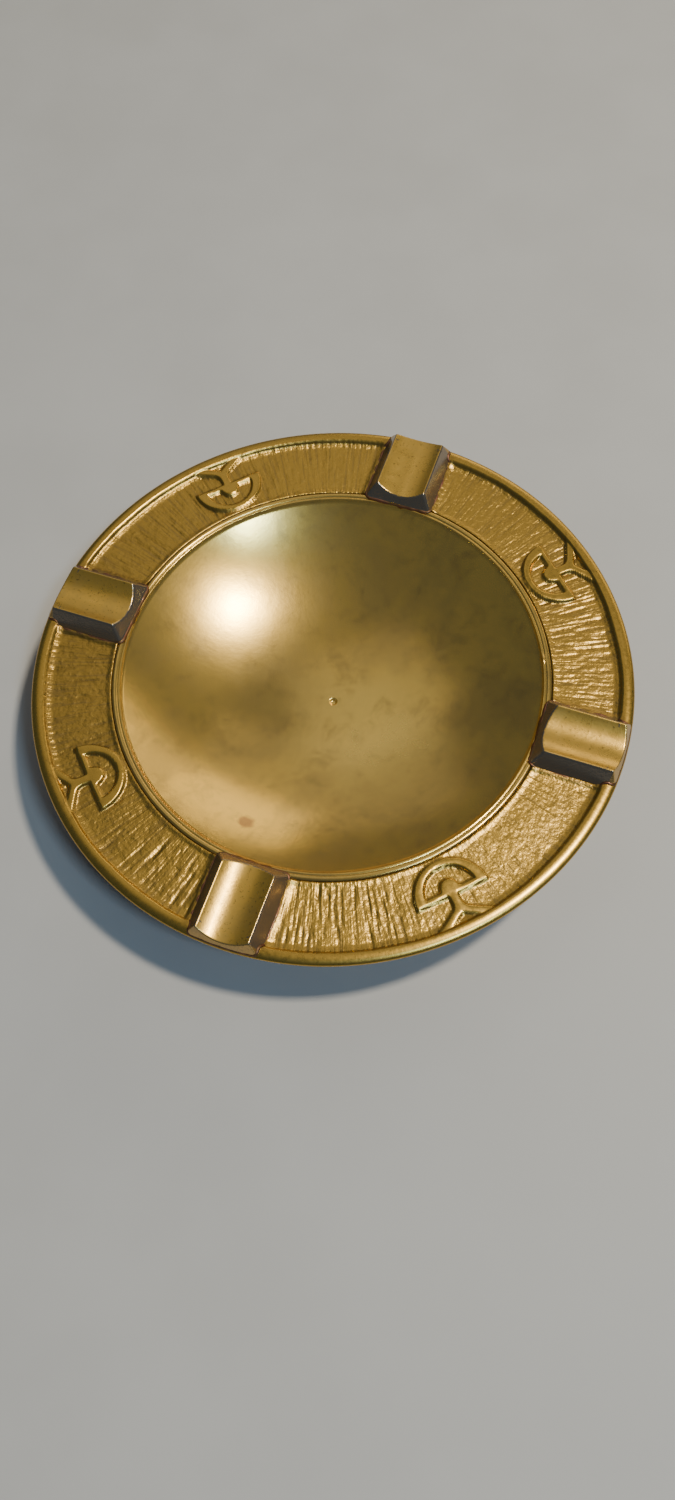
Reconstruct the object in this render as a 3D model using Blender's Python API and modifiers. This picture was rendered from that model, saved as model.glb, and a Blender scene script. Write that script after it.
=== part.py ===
"""A round brass ashtray with four cigar rests, in metres, with +Z up.

The origin is the centre of the foot's underside. The rests lie on the X and Y axes, and the relief
figures of the rim lie on the diagonals between them. Heights named *_Z are measured from the lip
plane, the level at which the rim is widest, and turned() adds LIP_PLANE to them.
"""

from math import asin, atan, cos, pi, radians, sin, sqrt

import bmesh
import bpy
from mathutils import Matrix

# Driving dimensions
RIM_RADIUS = 0.0850
LIP_PLANE = 0.0245  # height of the rim's widest line above the surface that the foot stands on
TURNED_STEPS = 80
GAP = 0.0003  # clearance between pieces that sit on each other
FILM = 0.0001  # clearance round solder

# Rim
LIP_TOP_Z = 0.0009
PANEL_Z = -0.0008
PANEL_OUTER = 0.0806
PANEL_INNER = 0.0638
MARGIN_Z = -0.0005  # top of the narrow shoulder between a panel and the bowl's lip
SHOULDER_WIDTH = 0.0008
UNDER_CHAMFER = 0.0030  # how far in from the panels the underside starts to rise to the lip
UNDER_RISE = 0.0006
RIM_UNDERSIDE_Z = -0.0034
SEAT_RADIUS = 0.0626  # the bowl's lip drops into this step
SEAT_Z = -0.0023
RIM_HOLE = 0.0612

# Bowl
BOWL_EDGE = 0.0599
BOWL_EDGE_Z = -0.0010
BOWL_FLOOR_Z = -0.0187
BOWL_POWER = 2.3  # 2 would be a paraboloid, and more gives a flatter floor and a steeper wall
BOWL_WALL = 0.0020
BOWL_LIP_Z = -0.00025
CENTRE_MARK_RADIUS = 0.0013
CENTRE_MARK_DEPTH = 0.0006
INNER_RINGS = 8
OUTER_RINGS = 7
RING_CROWDING = 0.8  # below 1 the rings stand closer together towards the edge, where the wall is steeper

# Foot
FOOT_OUTER = 0.0350
FOOT_NECK = 0.0336
FOOT_INNER = 0.0300
FOOT_BEVEL = 0.0006
FOOT_NECK_HEIGHT = 0.0032  # below this the foot flares
FOOT_FLARE_Z = 0.0022  # height above the ground at which the flare ends
FOOT_EDGE_Z = 0.0009

# Solder fillets under the rim and round the foot
RIM_FILLET_WIDTH = 0.0010
RIM_FILLET_DROP = 0.0012
RIM_FILLET_REACH = 0.0030
FOOT_FILLET_WIDTH = 0.0023
FOOT_FILLET_DROP = 0.0021

# Rests, each lying along +X before it is turned into place
REST_TOP_Z = 0.0044
REST_BASE_Z = PANEL_Z
REST_BASE_HALF = 0.0107
REST_TOP_HALF = 0.0074
REST_BASE_START = 0.0599
REST_TOP_START = 0.0634
REST_FOOT_END = 0.0845
REST_TOP_END = 0.0829
REST_CORNER = 0.0013
REST_CORNER_STEPS = 3
TROUGH_RADIUS = 0.0126
TROUGH_HALF = 0.0071  # half its width at the top of the rest
TROUGH_CUTTER_LENGTH = 0.040
TROUGH_CUTTER_SIDES = 80
OVERRUN = 0.0050  # how far a cutter or a block runs past what it is cut to
SOLDER_THICKNESS = 0.00035
SOLDER_MARGIN = 0.0007  # how far the solder shows round the rest's foot

# Relief figures, each drawn with its length along +X before it is turned into place
FIGURE_TOP_Z = 0.0003
FIGURE_BACK = 0.0738  # distance of the half disc's straight back from the axis
FIGURE_RADIUS = 0.0104
FIGURE_FOOT = 0.0822  # the legs end inside the lip
STEM_HALF = 0.0014
LEG_SPREAD = 0.0092
LEG_WIDTH = 0.0026
CRESCENT_CENTRE = 0.0728
CRESCENT_RADIUS = 0.0071
CRESCENT_BACK = 0.0719
KNOB_CENTRE = 0.0716
KNOB_RADIUS = 0.0026
STEM_LENGTH = 0.0018
KNEE = (0.0034, 0.0012)  # where a leg leaves the stem: past the disc's back, and out from the stem's side
CROTCH = 0.0052  # from the disc's back to the point between the legs
FIGURE_ROOT = 0.0008  # how far a figure goes down into the rim

BRASS = (0.72, 0.50, 0.20, 1.0)
DARK_BRASS = (0.50, 0.34, 0.15, 1.0)
COPPERY = (0.62, 0.33, 0.20, 1.0)


def clear_scene():
    for old in list(bpy.data.objects):
        bpy.data.objects.remove(old, do_unlink=True)


def new_collection(name, hidden=False):
    collection = bpy.data.collections.new(name)
    collection.hide_render = hidden
    bpy.context.scene.collection.children.link(collection)
    return collection


def metal(name, colour, roughness):
    material = bpy.data.materials.new(name)
    material.use_nodes = True
    shader = material.node_tree.nodes["Principled BSDF"]
    shader.inputs["Base Color"].default_value = colour
    shader.inputs["Metallic"].default_value = 1.0
    shader.inputs["Roughness"].default_value = roughness
    return material


def add_object(name, mesh, collection, material=None):
    added = bpy.data.objects.new(name, mesh)
    collection.objects.link(added)
    if material:
        mesh.materials.append(material)
    else:
        added.hide_render = True
        added.display_type = "WIRE"
    return added


def arc(centre, radius, start, end, steps):
    """Points on an arc from start to end, in degrees, both ends included."""
    angles = [radians(start + (end - start) * i / steps) for i in range(steps + 1)]
    return [(centre[0] + radius * cos(a), centre[1] + radius * sin(a)) for a in angles]


def turned(name, profile, collection, material=None):
    """A turned piece. The profile holds (radius, height above the lip plane), and its outer side
    runs top to bottom. It is a closed ring unless it starts and ends on the axis."""
    on_axis = profile[0][0] == 0 and profile[-1][0] == 0
    edges = [(i, i + 1) for i in range(len(profile) - 1)]
    if not on_axis:
        edges.append((len(profile) - 1, 0))
    mesh = bpy.data.meshes.new(name)
    mesh.from_pydata([(r, 0.0, LIP_PLANE + z) for r, z in profile], edges, [])
    piece = add_object(name, mesh, collection, material)
    screw = piece.modifiers.new("Turn", "SCREW")
    screw.steps = TURNED_STEPS
    screw.render_steps = TURNED_STEPS
    screw.use_merge_vertices = True
    screw.merge_threshold = 0.00001
    screw.use_smooth_shade = True
    return piece


def boolean(piece, other, operation):
    modifier = piece.modifiers.new(other.name, "BOOLEAN")
    modifier.operation = operation
    modifier.object = other


def bowl_slope(radius):
    rise = BOWL_EDGE_Z - BOWL_FLOOR_Z
    return atan(rise * BOWL_POWER / BOWL_EDGE * (radius / BOWL_EDGE) ** (BOWL_POWER - 1))


def bowl_inside(radius):
    """Height of the bowl's inner surface."""
    return BOWL_FLOOR_Z + (BOWL_EDGE_Z - BOWL_FLOOR_Z) * (radius / BOWL_EDGE) ** BOWL_POWER


def bowl_outside(radius):
    """Height of the bowl's outer surface, which lies one wall below the inner one."""
    return bowl_inside(radius) - BOWL_WALL / cos(bowl_slope(radius))


def deck(lift=0.0):
    """The top of the rim and the bowl's lip as one line, from the bowl outwards: what a rest sits on."""
    line = [
        (BOWL_EDGE - 0.0030, BOWL_EDGE_Z - 0.0020),
        (BOWL_EDGE, BOWL_EDGE_Z + 0.0002),
        (BOWL_EDGE + 0.0011, BOWL_LIP_Z),
        (BOWL_EDGE + 0.0021, BOWL_LIP_Z),
        (PANEL_INNER - SHOULDER_WIDTH, MARGIN_Z),
        (PANEL_INNER, PANEL_Z),
        (PANEL_OUTER, PANEL_Z),
        *lip_line(),
    ]
    return [(r, z + lift) for r, z in line]


def lip_line():
    """The rounded lip from its inner side over the top to the rim's widest line."""
    return [
        (RIM_RADIUS - 0.0037, LIP_TOP_Z - 0.00055),
        (RIM_RADIUS - 0.0030, LIP_TOP_Z - 0.0001),
        (RIM_RADIUS - 0.0022, LIP_TOP_Z),
        (RIM_RADIUS - 0.0012, LIP_TOP_Z - 0.0002),
        (RIM_RADIUS - 0.0004, LIP_TOP_Z - 0.0006),
        (RIM_RADIUS, LIP_TOP_Z - 0.0012),
    ]


def figure_outline():
    """Half disc with its round side to the bowl, a stem, and two legs that run into the lip."""
    half = [
        (FIGURE_BACK, STEM_HALF),
        (FIGURE_BACK + STEM_LENGTH, STEM_HALF),
        (FIGURE_BACK + KNEE[0], STEM_HALF + KNEE[1]),
        (FIGURE_FOOT, LEG_SPREAD),
        (FIGURE_FOOT, LEG_SPREAD - LEG_WIDTH),
    ]
    crotch = (FIGURE_BACK + CROTCH, 0.0)
    lower = [(x, -y) for x, y in half]
    dome = arc((FIGURE_BACK, 0.0), FIGURE_RADIUS, 90, 270, 18)
    return dome + lower + [crotch] + half[::-1]


def crescent_outline():
    """The recess inside the half disc, wrapped round a round knob."""
    reach = asin((CRESCENT_CENTRE - CRESCENT_BACK) / CRESCENT_RADIUS)
    ends = 90 + reach * 180 / pi
    outer = arc((CRESCENT_CENTRE, 0.0), CRESCENT_RADIUS, ends, 360 - ends, 14)
    knob_turn = 90 - asin((CRESCENT_BACK - KNOB_CENTRE) / KNOB_RADIUS) * 180 / pi
    knob = arc((KNOB_CENTRE, 0.0), KNOB_RADIUS, 360 - knob_turn, knob_turn, 8)
    return outer + knob


def flat_solid(name, outline, low, high, collection):
    """A flat outline given thickness between two heights above the lip plane."""
    curve = bpy.data.curves.new(name, "CURVE")
    curve.dimensions = "2D"
    curve.fill_mode = "BOTH"
    curve.extrude = (high - low) / 2
    spline = curve.splines.new("POLY")
    spline.points.add(len(outline) - 1)
    for point, (x, y) in zip(spline.points, outline):
        point.co = (x, y, 0.0, 1.0)
    spline.use_cyclic_u = True
    drawn = bpy.data.objects.new(name + "_curve", curve)
    collection.objects.link(drawn)
    drawn.location.z = LIP_PLANE + (low + high) / 2
    bpy.context.view_layer.update()
    graph = bpy.context.evaluated_depsgraph_get()
    mesh = bpy.data.meshes.new_from_object(drawn.evaluated_get(graph))
    mesh.name = name
    shape = bmesh.new()
    shape.from_mesh(mesh)
    bmesh.ops.remove_doubles(shape, verts=shape.verts, dist=0.00001)
    bmesh.ops.recalc_face_normals(shape, faces=shape.faces)
    shape.to_mesh(mesh)
    shape.free()
    solid = add_object(name, mesh, collection)
    solid.matrix_world = drawn.matrix_world.copy()
    bpy.data.objects.remove(drawn, do_unlink=True)
    return solid


def make_rim(parts, cutters, material):
    profile = [
        (RIM_HOLE, SEAT_Z),
        (SEAT_RADIUS, SEAT_Z),
        (SEAT_RADIUS, MARGIN_Z - 0.0003),
        (PANEL_INNER - SHOULDER_WIDTH, MARGIN_Z),
        (PANEL_INNER, PANEL_Z),
        (PANEL_OUTER, PANEL_Z),
        *lip_line(),
        (RIM_RADIUS - 0.0001, LIP_TOP_Z - 0.0020),
        (RIM_RADIUS - 0.0008, LIP_TOP_Z - 0.0027),
        (PANEL_OUTER, RIM_UNDERSIDE_Z + UNDER_RISE),
        (PANEL_OUTER - UNDER_CHAMFER, RIM_UNDERSIDE_Z),
        (RIM_HOLE, RIM_UNDERSIDE_Z),
    ]
    rim = turned("rim", profile, parts, material)
    figure = flat_solid("figure_1", figure_outline(), PANEL_Z - FIGURE_ROOT, FIGURE_TOP_Z, cutters)
    low, high = PANEL_Z - 2 * FIGURE_ROOT, FIGURE_TOP_Z + FIGURE_ROOT
    recess = flat_solid("crescent", crescent_outline(), low, high, cutters)
    boolean(figure, recess, "DIFFERENCE")
    bpy.context.view_layer.update()
    graph = bpy.context.evaluated_depsgraph_get()
    relief = bpy.data.meshes.new_from_object(figure.evaluated_get(graph))
    for i in range(4):
        copy = add_object(f"relief_{i + 1}", relief, cutters)
        copy.matrix_world = Matrix.Rotation(radians(45 + 90 * i), 4, "Z") @ figure.matrix_world
        boolean(rim, copy, "UNION")


def make_bowl(parts, material):
    inner = [(0.0, BOWL_FLOOR_Z - CENTRE_MARK_DEPTH)]
    inner.append((CENTRE_MARK_RADIUS * 0.7, BOWL_FLOOR_Z - CENTRE_MARK_DEPTH * 0.6))
    inner += [(r, bowl_inside(r)) for r in [CENTRE_MARK_RADIUS] + stations(INNER_RINGS, BOWL_EDGE)]
    lip = [
        (BOWL_EDGE + 0.0003, BOWL_EDGE_Z + 0.0004),
        (BOWL_EDGE + 0.0008, BOWL_LIP_Z - 0.0002),
        (BOWL_EDGE + 0.0011, BOWL_LIP_Z - 0.0004),
        (BOWL_EDGE + 0.0014, BOWL_LIP_Z),
        (BOWL_EDGE + 0.0020, BOWL_LIP_Z),
        (SEAT_RADIUS - GAP, BOWL_LIP_Z - 0.0005),
        (SEAT_RADIUS - GAP, SEAT_Z + GAP),
        (RIM_HOLE - GAP, SEAT_Z + GAP),
    ]
    outer = [(r, bowl_outside(r)) for r in stations(OUTER_RINGS, BOWL_EDGE + FILM)[::-1]]
    outer.append((0.0, BOWL_FLOOR_Z - BOWL_WALL))
    turned("bowl", inner + lip + outer, parts, material)


def stations(count, end):
    """Radii from the middle of a bowl out to end, closer together where the wall is steeper."""
    return [end * (i / count) ** RING_CROWDING for i in range(1, count + 1)]


def make_foot(parts, material):
    profile = [
        (FOOT_INNER, bowl_outside(FOOT_INNER) - GAP),
        (FOOT_NECK, bowl_outside(FOOT_NECK) - GAP),
        (FOOT_NECK, bowl_outside(FOOT_NECK) - GAP - FOOT_NECK_HEIGHT),
        (FOOT_OUTER - FOOT_BEVEL / 2, FOOT_FLARE_Z - LIP_PLANE),
        (FOOT_OUTER, FOOT_EDGE_Z - LIP_PLANE),
        (FOOT_OUTER - FOOT_BEVEL, -LIP_PLANE),
        (FOOT_INNER + FOOT_BEVEL, -LIP_PLANE),
        (FOOT_INNER, FOOT_BEVEL - LIP_PLANE),
    ]
    turned("foot_ring", profile, parts, material)


def make_solder_rings(parts, material):
    """Two fillets: under the rim round the bowl, and under the bowl round the foot."""
    under_rim = RIM_UNDERSIDE_Z - FILM
    rim_end = SEAT_RADIUS + RIM_FILLET_WIDTH
    wall_end = BOWL_EDGE - RIM_FILLET_REACH
    start = BOWL_EDGE + FILM
    rim_fillet = [
        (start, min(under_rim, bowl_outside(start) - FILM)),
        (rim_end, under_rim),
        (start, under_rim - RIM_FILLET_DROP),
        (wall_end, bowl_outside(wall_end) - 2 * FILM),
    ]
    turned("rim_solder", rim_fillet, parts, material)
    neck = FOOT_NECK + FILM
    foot_end = neck + FOOT_FILLET_WIDTH
    foot_fillet = [
        (neck, bowl_outside(neck) - 2 * FILM),
        (foot_end, bowl_outside(foot_end) - 2 * FILM),
        (neck + 0.3 * FOOT_FILLET_WIDTH, bowl_outside(neck) - 0.4 * FOOT_FILLET_DROP),
        (neck, bowl_outside(neck) - FOOT_FILLET_DROP),
    ]
    turned("foot_solder", foot_fillet, parts, material)


def tapered_block(name, margin, low, collection, material):
    """A rest's block before it is fitted, from low up to the rest's top, with margin added all round."""
    rise = REST_TOP_Z - REST_BASE_Z
    side_slope = (REST_BASE_HALF - REST_TOP_HALF) / rise
    start_slope = (REST_TOP_START - REST_BASE_START) / rise
    mesh = bpy.data.meshes.new(name)
    shape = bmesh.new()
    bmesh.ops.create_cube(shape, size=2.0)
    for corner in shape.verts:
        z = REST_TOP_Z if corner.co.z > 0 else low
        half = REST_BASE_HALF - side_slope * (z - REST_BASE_Z) + margin
        start = REST_BASE_START + start_slope * (z - REST_BASE_Z) - margin
        x = RIM_RADIUS + OVERRUN if corner.co.x > 0 else start
        corner.co = (x, half if corner.co.y > 0 else -half, LIP_PLANE + z)
    uprights = [e for e in shape.edges if abs(e.verts[0].co.z - e.verts[1].co.z) > rise / 2]
    bmesh.ops.bevel(
        shape, geom=uprights, offset=REST_CORNER, segments=REST_CORNER_STEPS, profile=0.5, affect="EDGES"
    )
    bmesh.ops.recalc_face_normals(shape, faces=shape.faces)
    shape.to_mesh(mesh)
    shape.free()
    mesh.shade_smooth()
    mesh.set_sharp_from_angle(angle=radians(30))
    return add_object(name, mesh, collection, material)


def rest_envelope(cutters):
    """The turned space that a rest may fill: above its solder, and inside the rim's outline."""
    floor = deck(SOLDER_THICKNESS + 2 * FILM)
    foot_z = height_on(floor, REST_FOOT_END)
    lean = (REST_TOP_END - REST_FOOT_END) / (REST_TOP_Z - foot_z)
    top = REST_TOP_Z + OVERRUN
    outside = [(REST_TOP_END + lean * OVERRUN, top), (REST_FOOT_END, foot_z)]
    resting = [(r, z) for r, z in floor[::-1] if r < REST_FOOT_END - GAP / 2]
    return turned("rest_envelope", [(resting[-1][0], top)] + outside + resting, cutters)


def height_on(line, radius):
    """Height of a line of (radius, height) points at a radius between two of them."""
    for (r0, z0), (r1, z1) in zip(line, line[1:]):
        if r0 <= radius <= r1:
            return z0 + (z1 - z0) * (radius - r0) / (r1 - r0)
    raise ValueError("the radius is past the line's ends")


def solder_envelope(cutters):
    """A turned layer of solder on the rim and the bowl's lip."""
    reach = [(r, z) for r, z in deck() if BOWL_EDGE <= r < RIM_RADIUS]
    upper = [(r, z + FILM + SOLDER_THICKNESS) for r, z in reach]
    lower = [(r, z + FILM) for r, z in reach[::-1]]
    return turned("solder_envelope", upper + lower, cutters)


def trough_mesh():
    """A cylinder that leaves a trough in the top of the rest that lies along +X."""
    above = sqrt(TROUGH_RADIUS**2 - TROUGH_HALF**2)
    middle = (REST_BASE_START + RIM_RADIUS) / 2
    place = Matrix.Translation((middle, 0.0, LIP_PLANE + REST_TOP_Z + above))
    shape = bmesh.new()
    bmesh.ops.create_cone(
        shape, cap_ends=True, segments=TROUGH_CUTTER_SIDES, radius1=TROUGH_RADIUS, radius2=TROUGH_RADIUS,
        depth=TROUGH_CUTTER_LENGTH, matrix=place @ Matrix.Rotation(pi / 2, 4, "Y"),
    )
    mesh = bpy.data.meshes.new("trough")
    shape.to_mesh(mesh)
    shape.free()
    return mesh


def make_rests(parts, cutters, rest_material, solder_material):
    allowed = rest_envelope(cutters)
    layer = solder_envelope(cutters)
    cylinder = trough_mesh()
    low = PANEL_Z - OVERRUN / 2
    for i in range(4):
        turn = Matrix.Rotation(radians(90 * i), 4, "Z")
        rest = tapered_block(f"rest_{i + 1}", 0.0, low, parts, rest_material)
        trough = add_object(f"trough_{i + 1}", cylinder, cutters)
        bed = tapered_block(f"rest_solder_{i + 1}", SOLDER_MARGIN, low, parts, solder_material)
        for piece in (rest, trough, bed):
            piece.matrix_world = turn
        boolean(rest, allowed, "INTERSECT")
        boolean(rest, trough, "DIFFERENCE")
        boolean(bed, layer, "INTERSECT")


def main():
    clear_scene()
    parts = new_collection("ashtray")
    cutters = new_collection("cutters", hidden=True)
    make_rim(parts, cutters, metal("rim_brass", BRASS, 0.38))
    make_bowl(parts, metal("bowl_brass", BRASS, 0.30))
    make_foot(parts, metal("foot_brass", DARK_BRASS, 0.45))
    solder = metal("solder", COPPERY, 0.50)
    make_solder_rings(parts, solder)
    make_rests(parts, cutters, metal("rest_brass", BRASS, 0.22), solder)


main()
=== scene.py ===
"""The looks of a round brass ashtray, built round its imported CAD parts.

Lengths are in metres. The rests lie on the X and Y axes and the relief figures on the diagonals.
Fine surfaces are grids of rings round the Z axis, shaped with numpy. Heights named *_Z are measured
from the lip plane, the level at which the rim is widest.
"""

from math import cos, pi, radians, sin

import bpy
import numpy as np
from mathutils import Matrix, Vector


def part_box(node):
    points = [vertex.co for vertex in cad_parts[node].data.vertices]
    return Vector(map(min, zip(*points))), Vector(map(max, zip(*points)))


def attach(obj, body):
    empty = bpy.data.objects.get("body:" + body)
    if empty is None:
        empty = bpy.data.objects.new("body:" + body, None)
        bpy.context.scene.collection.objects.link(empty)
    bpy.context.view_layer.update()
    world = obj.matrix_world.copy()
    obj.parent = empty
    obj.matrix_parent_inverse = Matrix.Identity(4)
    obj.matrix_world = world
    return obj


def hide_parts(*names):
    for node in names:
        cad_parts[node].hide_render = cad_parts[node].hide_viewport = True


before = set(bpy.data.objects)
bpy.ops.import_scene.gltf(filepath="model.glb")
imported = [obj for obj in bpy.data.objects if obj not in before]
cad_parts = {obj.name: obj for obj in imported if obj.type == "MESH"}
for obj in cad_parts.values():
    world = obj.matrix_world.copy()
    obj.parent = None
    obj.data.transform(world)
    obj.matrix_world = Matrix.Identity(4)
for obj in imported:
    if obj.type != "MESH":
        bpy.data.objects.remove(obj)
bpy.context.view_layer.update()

# Sizes that the frame gives
RIM_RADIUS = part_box("rim")[1].x
LIP_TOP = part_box("rim")[1].z
RIM_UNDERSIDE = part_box("rim")[0].z
BOWL_LIP_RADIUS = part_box("bowl")[1].x
BOWL_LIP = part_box("bowl")[1].z
REST_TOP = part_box("rest_1")[1].z
REST_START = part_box("rest_1")[0].x
REST_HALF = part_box("rest_1")[1].y
REST_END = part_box("rest_1")[1].x

# Sizes that repeat the CAD's
LIP_PLANE = LIP_TOP - 0.0009
PANEL_Z = -0.0008
PANEL_INNER = 0.0638
SEAT_RADIUS = BOWL_LIP_RADIUS + 0.0001
SEAT_Z = -0.0023
RIM_HOLE = 0.0612
BOWL_EDGE = 0.0599
BOWL_EDGE_Z = -0.0010
BOWL_FLOOR_Z = -0.0187
BOWL_POWER = 2.3
BOWL_WALL = 0.0020
TROUGH_RADIUS = 0.0126
TROUGH_HALF = 0.0071
REST_BASE_HALF = 0.0107
REST_TOP_HALF = 0.0074
REST_BASE_START = 0.0599
REST_TOP_START = 0.0634
REST_TOP_END = 0.0829
REST_CORNER = 0.0013
SOLDER_LIFT = 0.00055  # from the rim's surface to a rest's underside
FIGURE_TOP_Z = 0.0003
FIGURE_BACK = 0.0738
FIGURE_RADIUS = 0.0104
CORNER = 0.0002  # small chamfers on the rim's underside and seat

# The look's own sizes
LIP_WIDTH = 0.00395  # from the rim's edge to the panels
LIP_WANDER = 0.00052  # how far the line between them strays
CREST_INSET = 0.0023  # from the rim's edge to the lip's highest line
ROLL_Z = -0.0003  # where the lip's rounded edge is widest
UNDER_ROUND = 0.0016
PANEL_MIDDLE = 0.0735  # radius at which lengths round the rim are reckoned
STROKES = 1500
STROKE_DEPTH = 0.00020
DROP_RADIUS, DROP_ANGLE = 0.0603, radians(22.1)  # a drop of metal on the bowl's lip
DROP_SPREAD, DROP_HEIGHT = 0.0008, 0.0005

# The view, in the photograph's own directions: X to the right, Y away, Z up, in rim radii
VIEW_TURN = radians(23.9)  # from those directions to the part's axes
CAMERA_PLACE = Vector((0.0, -1.936, 3.503))
CAMERA_TILT = radians(64.84)
CAMERA_ROLL = radians(-5.05)
CAMERA_LENS = 28.8


# --- Mesh helpers -----------------------------------------------------------------------------

def ring_grid(name, angles, radii, heights, closed_section):
    """A surface of rings round Z. radii and heights have a row for each ring and a column for each
    angle. A closed section joins the last ring to the first; otherwise both ends are capped."""
    rows, columns = radii.shape
    xyz = np.stack([radii * np.cos(angles), radii * np.sin(angles), heights], axis=-1)
    points = xyz.reshape(-1, 3)
    ring, column = np.meshgrid(np.arange(rows - (not closed_section)), np.arange(columns), indexing="ij")
    after = (ring + 1) % rows
    beside = (column + 1) % columns
    corners = [(ring, column), (after, column), (after, beside), (ring, beside)]
    faces = np.stack([i * columns + j for i, j in corners], axis=-1).reshape(-1, 4).tolist()
    if not closed_section:
        centres = np.array([[0, 0, heights[0].mean()], [0, 0, heights[-1].mean()]])
        first, last = len(points), len(points) + 1
        points = np.concatenate([points, centres])
        end = (rows - 1) * columns
        faces += [[first, i, (i + 1) % columns] for i in range(columns)]
        faces += [[last, end + (i + 1) % columns, end + i] for i in range(columns)]
    return mesh_object(name, points, faces)


def mesh_object(name, points, faces):
    """A smooth-shaded object in the scene."""
    mesh = bpy.data.meshes.new(name)
    mesh.from_pydata(np.asarray(points).tolist(), [], faces)
    mesh.shade_smooth()
    made = bpy.data.objects.new(name, mesh)
    bpy.context.scene.collection.objects.link(made)
    return made


def point_values(piece, name, values):
    """Keeps a number for each point of the mesh, for its material to read."""
    layer = piece.data.attributes.new(name, "FLOAT", "POINT")
    padded = np.zeros(len(piece.data.vertices), np.float32)
    padded[: values.size] = values.ravel()
    layer.data.foreach_set("value", padded)


def stand_for(piece, material, slot, *nodes):
    """Puts a piece in place of its CAD nodes, with its material."""
    piece.data.materials.append(material)
    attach(piece, "root")
    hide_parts(*nodes)


# --- Shape helpers ----------------------------------------------------------------------------

def smoothstep(low, high, x):
    """0 up to low and 1 from high on, or the other way round where low is above high."""
    t = np.clip((x - low) / (high - low), 0, 1)
    return t * t * (3 - 2 * t)


def soft_min(a, b, blend):
    """The lower of two heights, with the crease between them rounded over blend."""
    h = np.clip(0.5 + 0.5 * (b - a) / blend, 0, 1)
    return b + (a - b) * h - blend * h * (1 - h)


def soft_max(a, b, blend):
    return -soft_min(-a, -b, blend)


def smooth_noise(angles, across, turns, cells, seed):
    """Noise from -1 to 1 that closes round the circle, with turns cells round it, and with a number of
    cells while across goes from 0 to 1."""
    lattice = np.random.default_rng(seed).uniform(-1, 1, (cells + 2, turns))
    x = np.mod(angles / (2 * pi), 1.0) * turns
    y = np.clip(across, 0, 1) * cells
    i, j = np.floor(x).astype(int) % turns, np.floor(y).astype(int)
    fx, fy = smoothstep(0, 1, x - np.floor(x)), smoothstep(0, 1, y - np.floor(y))
    k = (i + 1) % turns
    low = lattice[j, i] * (1 - fx) + lattice[j, k] * fx
    high = lattice[j + 1, i] * (1 - fx) + lattice[j + 1, k] * fx
    return low * (1 - fy) + high * fy


def round_noise(angles, turns, seed):
    """Noise from -1 to 1 that depends only on the angle."""
    return smooth_noise(angles, np.zeros_like(angles), turns, 1, seed)


def bowl_inside(radius):
    """Height of the bowl's inner surface."""
    return BOWL_FLOOR_Z + (BOWL_EDGE_Z - BOWL_FLOOR_Z) * (radius / BOWL_EDGE) ** BOWL_POWER


def bowl_outside(radius):
    """Height of its outer surface, a wall's thickness away."""
    rise = (BOWL_EDGE_Z - BOWL_FLOOR_Z) * BOWL_POWER / BOWL_EDGE
    slope = np.arctan(rise * (radius / BOWL_EDGE) ** (BOWL_POWER - 1))
    return bowl_inside(radius) - BOWL_WALL / np.cos(slope)


def lip_inner(angles):
    """Radius at which the lip meets the panel: a hand-finished, slightly wandering line."""
    wander = 0.55 * round_noise(angles, 17, 3) + 0.30 * round_noise(angles, 41, 4)
    wander = wander + 0.12 * round_noise(angles, 140, 5)
    return RIM_RADIUS - LIP_WIDTH + LIP_WANDER * wander


def deck(radius):
    """Height of the rim's and the bowl lip's smoothed top, which the rests sit on."""
    profile = [
        (0.0560, -0.0030),
        (0.0599, -0.0008),
        (0.0608, -0.00025),
        (0.0621, -0.00025),
        (0.0630, -0.0005),
        (0.0638, -0.0008),
        (0.0806, -0.0008),
        (0.0813, 0.00035),
        (0.0820, 0.0008),
        (0.0828, 0.0009),
        (0.0838, 0.0007),
        (0.0846, 0.0003),
        (0.0850, -0.0003),
    ]
    return np.interp(radius, *zip(*profile))


# --- Rim --------------------------------------------------------------------------------------

# The relief figure's outline, in millimetres, out along its middle from the dish's axis
RECESS_CENTRE, RECESS_RADIUS, RECESS_BACK = 72.8, 7.1, 71.9
KNOB_CENTRE, KNOB_RADIUS = 71.6, 2.6
STEM_HALF, STEM_OVERLAP, STEM_END = 1.35, 1.0, 78.5
LEG_START, LEG_RUN, LEG_HALF = 77.7, np.array([82.9 - 77.7, 8.6]), 1.25


def figure_distance(u, v):
    """Signed distance to the relief figure's outline, negative inside. u runs outwards from the axis
    along the figure's middle and v across it. The figure is a half disc with a sunk crescent round a
    knob, on a stem with two legs."""
    u, v = u * 1000, np.abs(v) * 1000
    back, radius = FIGURE_BACK * 1000, FIGURE_RADIUS * 1000
    half_disc = soft_max(np.hypot(u - back, v) - radius, u - back, 0.35)
    recess = np.maximum(np.hypot(u - RECESS_CENTRE, v) - RECESS_RADIUS, u - RECESS_BACK)
    knob = np.hypot(u - KNOB_CENTRE, v) - KNOB_RADIUS
    crescent = soft_max(recess, -knob, 1.1)
    head = np.maximum(half_disc, -crescent)
    stem = np.maximum(v - STEM_HALF, np.maximum(back - STEM_OVERLAP - u, u - STEM_END))
    along = np.clip(((u - LEG_START) * LEG_RUN[0] + v * LEG_RUN[1]) / (LEG_RUN @ LEG_RUN), 0, 1)
    leg = np.hypot(u - LEG_START - along * LEG_RUN[0], v - along * LEG_RUN[1]) - LEG_HALF
    return soft_min(head, soft_min(stem, leg, 1.3), 0.5) / 1000


def figures(angles, radii):
    """Signed distance to the nearest of the four figures."""
    turned = np.mod(angles, pi / 2) - pi / 4
    return figure_distance(radii * np.cos(turned), radii * np.sin(turned))


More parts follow.
